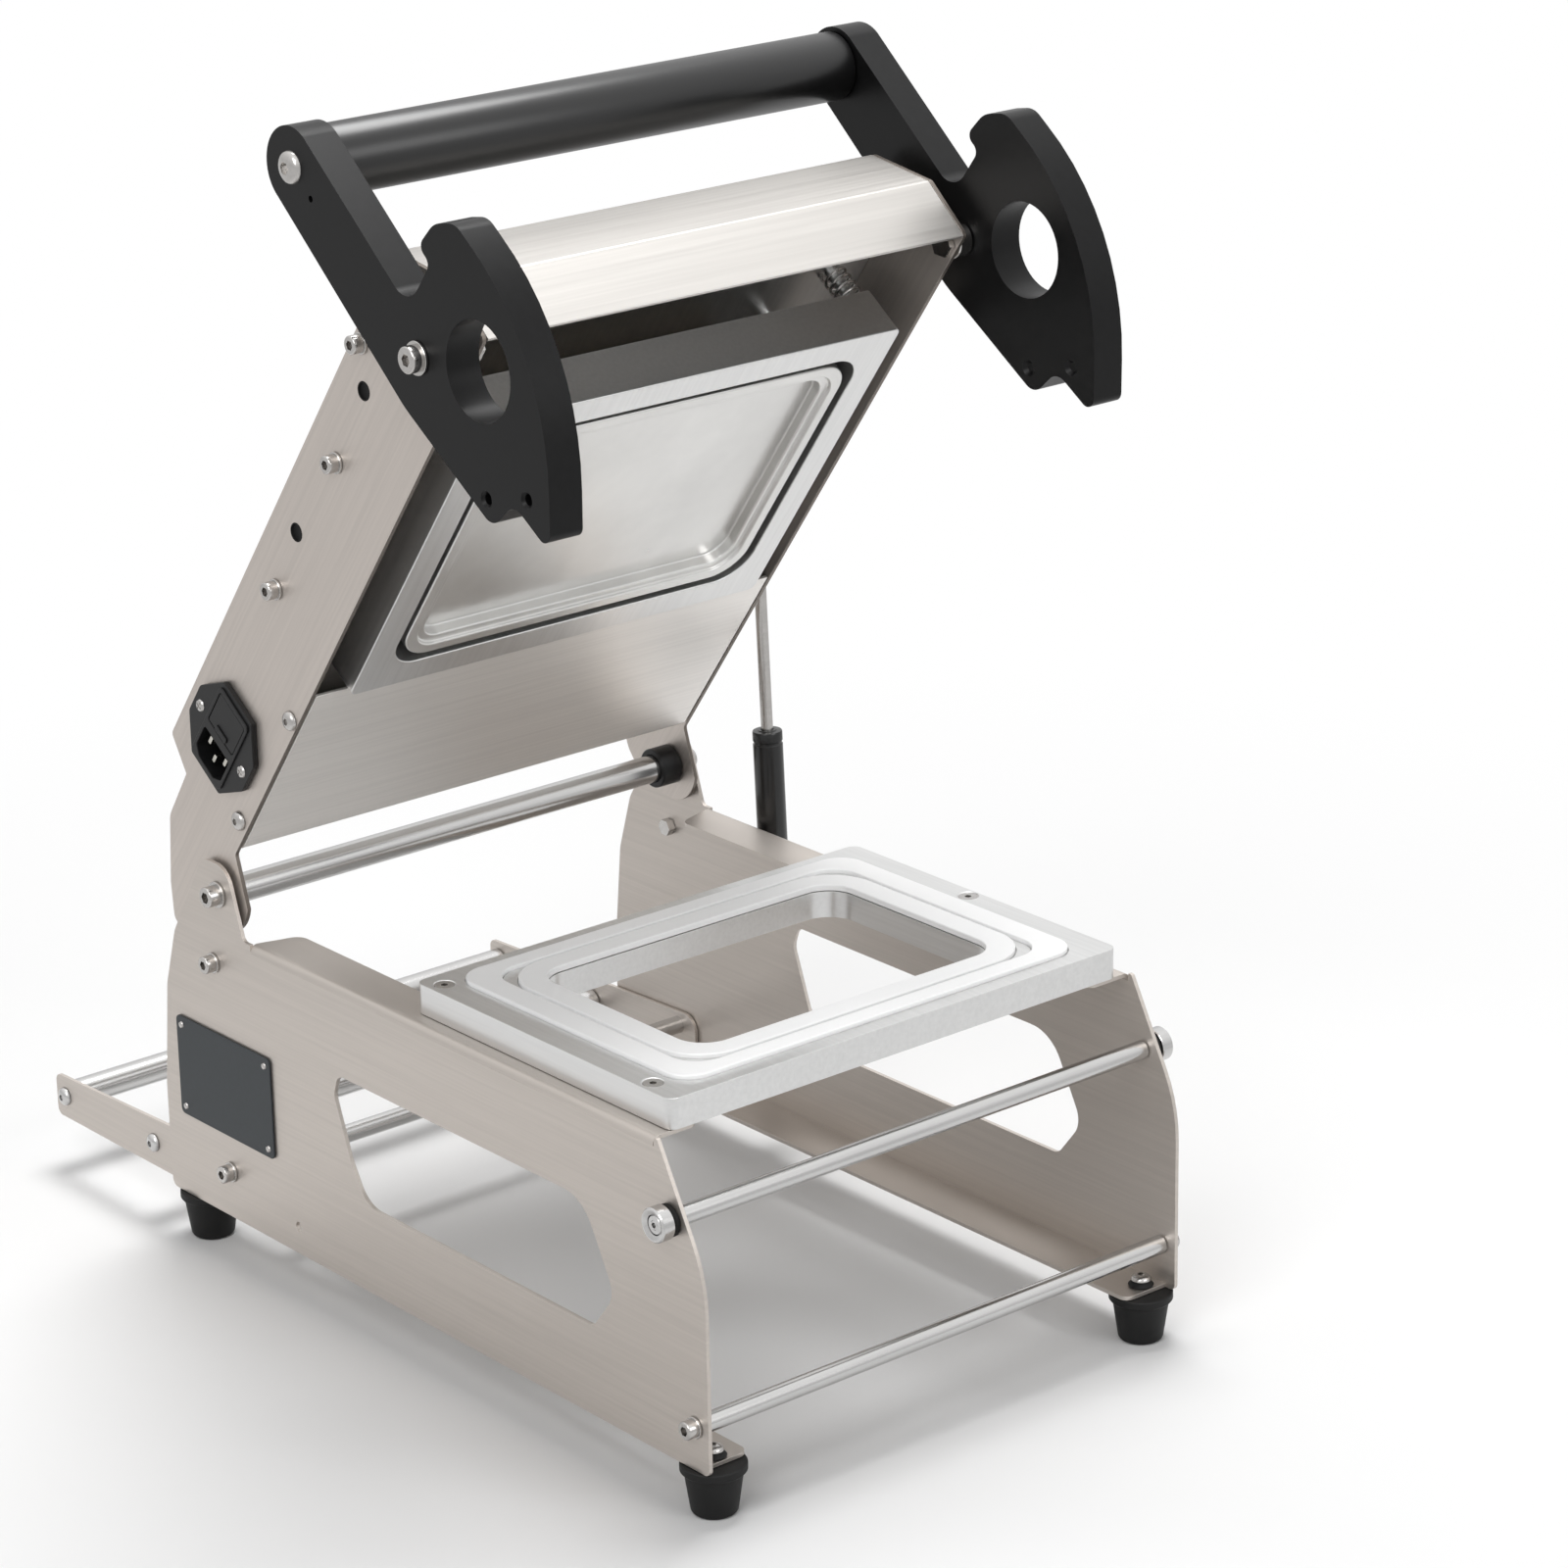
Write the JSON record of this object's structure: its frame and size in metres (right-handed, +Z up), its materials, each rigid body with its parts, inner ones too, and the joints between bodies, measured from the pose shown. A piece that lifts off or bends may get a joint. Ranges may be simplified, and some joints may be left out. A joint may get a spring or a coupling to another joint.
{
  "type": "manual tray sealing machine",
  "caption": "Bench tray sealer with a hinged heated lid on a gas strut, a U-shaped cam lever, a clamp frame on springs, a tray plate with silicone rings and a film holder.",
  "frame": {"origin": "middle of the bounding box, on the surface the feet stand on", "axes": "+X to the machine's right as the operator faces it, -Y to its front, +Z up"},
  "size_m": [0.3326, 0.527, 0.5806],
  "materials": {
    "brushed_steel": "brushed satin stainless sheet",
    "cover_steel": "fine brushed stainless sheet",
    "polished_steel": "polished stainless screws, rods and springs",
    "aluminium": "milled satin aluminium",
    "black_lever": "black satin plastic",
    "black_plastic": "black moulded plastic",
    "black_metal": "black lacquered steel tube",
    "rubber": "matt black rubber",
    "silicone": "white silicone",
    "slate": "dark blank plate",
    "heater_mica": "mica heater plate"
  },
  "bodies": {
    "base": {"base_side_left": "brushed_steel", "base_side_right": "brushed_steel", "film_arm_left": "brushed_steel", "film_arm_right": "brushed_steel", "foot_front_left": "rubber", "foot_front_right": "rubber", "foot_rear_left": "rubber", "foot_rear_right": "rubber", "hinge_shaft": "polished_steel", "nameplate": "slate", "rod_front_lower": "polished_steel", "rod_front_upper": "polished_steel", "rod_rear_lower": "polished_steel", "roller_spacer_left": "black_plastic", "roller_spacer_right": "black_plastic", "screw_front_lower_left": "polished_steel", "screw_front_lower_right": "polished_steel", "screw_hinge_left": "polished_steel", "screw_hinge_right": "polished_steel", "screw_rear_lower_left": "polished_steel", "screw_rear_lower_right": "polished_steel", "screw_rear_upper_left": "polished_steel", "screw_rear_upper_right": "polished_steel", "screw_roller_left": "polished_steel", "screw_roller_right": "polished_steel", "seal_ring_inner": "silicone", "seal_ring_outer": "silicone", "strut_stud_base": "polished_steel", "tray_plate": "aluminium"},
    "lid": {"heated_plate": "aluminium", "heater": "heater_mica", "hinge_bush_left": "black_plastic", "hinge_bush_right": "black_plastic", "lever_bolt_left": "polished_steel", "lever_bolt_right": "polished_steel", "lid_carrier": "aluminium", "lid_lower_cover": "cover_steel", "lid_side_left": "brushed_steel", "lid_side_right": "brushed_steel", "lid_top_cover": "cover_steel", "power_inlet": "black_plastic", "power_switch": "black_plastic", "spring_front_left": "polished_steel", "spring_front_right": "polished_steel", "spring_rear_left": "polished_steel", "spring_rear_right": "polished_steel", "strut_stud_lid": "polished_steel", "temperature_controller": "black_plastic"},
    "lever": {"lever_arm_left": "black_lever", "lever_arm_right": "black_lever", "lever_grip": "black_lever"},
    "clamp_frame": {"clamp_frame": "aluminium"},
    "cam_roller_left": {"cam_roller_left": "polished_steel"},
    "cam_roller_right": {"cam_roller_right": "polished_steel"},
    "film_roller_front": {"film_roller_front": "polished_steel"},
    "film_roller_rear": {"film_roller_rear": "polished_steel"},
    "switch_rocker": {"switch_rocker": "black_plastic"},
    "strut_cylinder": {"strut_cylinder": "black_metal"},
    "strut_rod": {"strut_rod": "polished_steel"}
  },
  "joints": [
    {"name": "lid_hinge", "type": "hinge", "parent": "base", "child": "lid", "pos_m": [0, 0.1, 0.1915], "axis": [1, 0, 0], "range_deg": [0, 53.5], "stiffness_Nm_per_rad": 5, "springref_deg": -148.97},
    {"name": "lever_hinge", "type": "hinge", "parent": "lid", "child": "lever", "pos_m": [0, -0.11084, 0.49577], "axis": [1, 0, 0], "range_deg": [0, 150]},
    {"name": "clamp_slide", "type": "slide", "parent": "lid", "child": "clamp_frame", "axis": [0, 0.8039, 0.5948], "range_m": [0, 0.008], "stiffness_N_per_m": 4000, "springref_m": -0.006, "deforming": ["spring_rear_left", "spring_rear_right", "spring_front_left", "spring_front_right"]},
    {"name": "cam_roller_left_spin", "type": "hinge", "parent": "base", "child": "cam_roller_left", "pos_m": [-0.1468, -0.2385, 0.1385], "axis": [1, 0, 0], "continuous": true},
    {"name": "cam_roller_right_spin", "type": "hinge", "parent": "base", "child": "cam_roller_right", "pos_m": [0.1468, -0.2385, 0.1385], "axis": [1, 0, 0], "continuous": true},
    {"name": "film_roller_front_spin", "type": "hinge", "parent": "base", "child": "film_roller_front", "pos_m": [0, 0.1745, 0.0395], "axis": [1, 0, 0], "continuous": true},
    {"name": "film_roller_rear_spin", "type": "hinge", "parent": "base", "child": "film_roller_rear", "pos_m": [0, 0.2555, 0.0385], "axis": [1, 0, 0], "continuous": true},
    {"name": "switch_tilt", "type": "hinge", "parent": "lid", "child": "switch_rocker", "pos_m": [-0.03, 0.1042, 0.30906], "axis": [1, 0, 0], "range_deg": [-20, 0]},
    {"name": "strut_swing", "type": "hinge", "parent": "base", "child": "strut_cylinder", "pos_m": [0.151, 0.0365, 0.05], "axis": [1, 0, 0], "range_deg": [0, 25.52]},
    {"name": "strut_slide", "type": "slide", "parent": "strut_cylinder", "child": "strut_rod", "axis": [0, 0.044, 0.999], "range_m": [-0.0815, 0]}
  ],
  "couplings": [
    {"joint": "strut_swing", "follows": "lid_hinge", "ratio": 0.47139},
    {"joint": "strut_slide", "follows": "lid_hinge", "m_per_rad": -0.0868}
  ]
}
